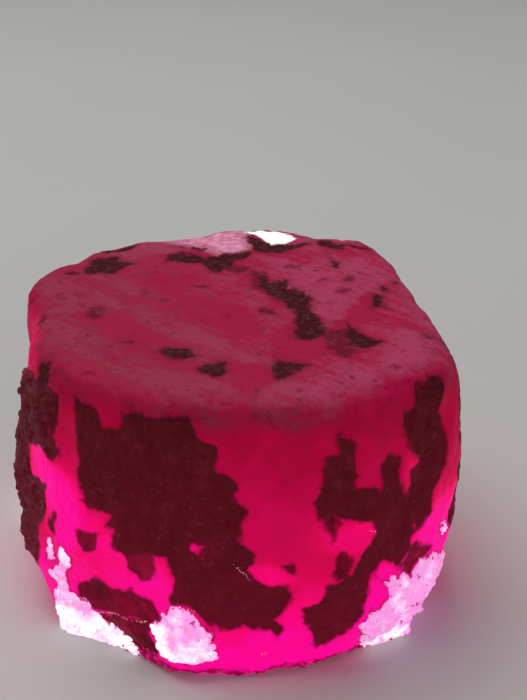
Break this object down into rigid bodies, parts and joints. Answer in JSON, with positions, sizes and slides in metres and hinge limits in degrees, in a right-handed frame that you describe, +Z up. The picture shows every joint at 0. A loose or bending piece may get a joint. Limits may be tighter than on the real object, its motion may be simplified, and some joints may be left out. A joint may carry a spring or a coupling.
{
  "type": "raw ruby crystal",
  "caption": "Squat six-sided rough ruby crystal, broken flat across the top, with dark mica patches and a pale crusted foot.",
  "frame": {"origin": "middle of the flat base that the crystal rests on", "axes": "+Z up, square to the flat top break; +X to the right and -Y towards the viewer of the broad front prism face"},
  "size_m": [0.0294, 0.0316, 0.0188],
  "materials": {
    "ruby": "satin",
    "mica": "satin",
    "pale_crust": "matte"
  },
  "bodies": {
    "root": {"ruby_crystal": "ruby"}
  },
  "joints": []
}
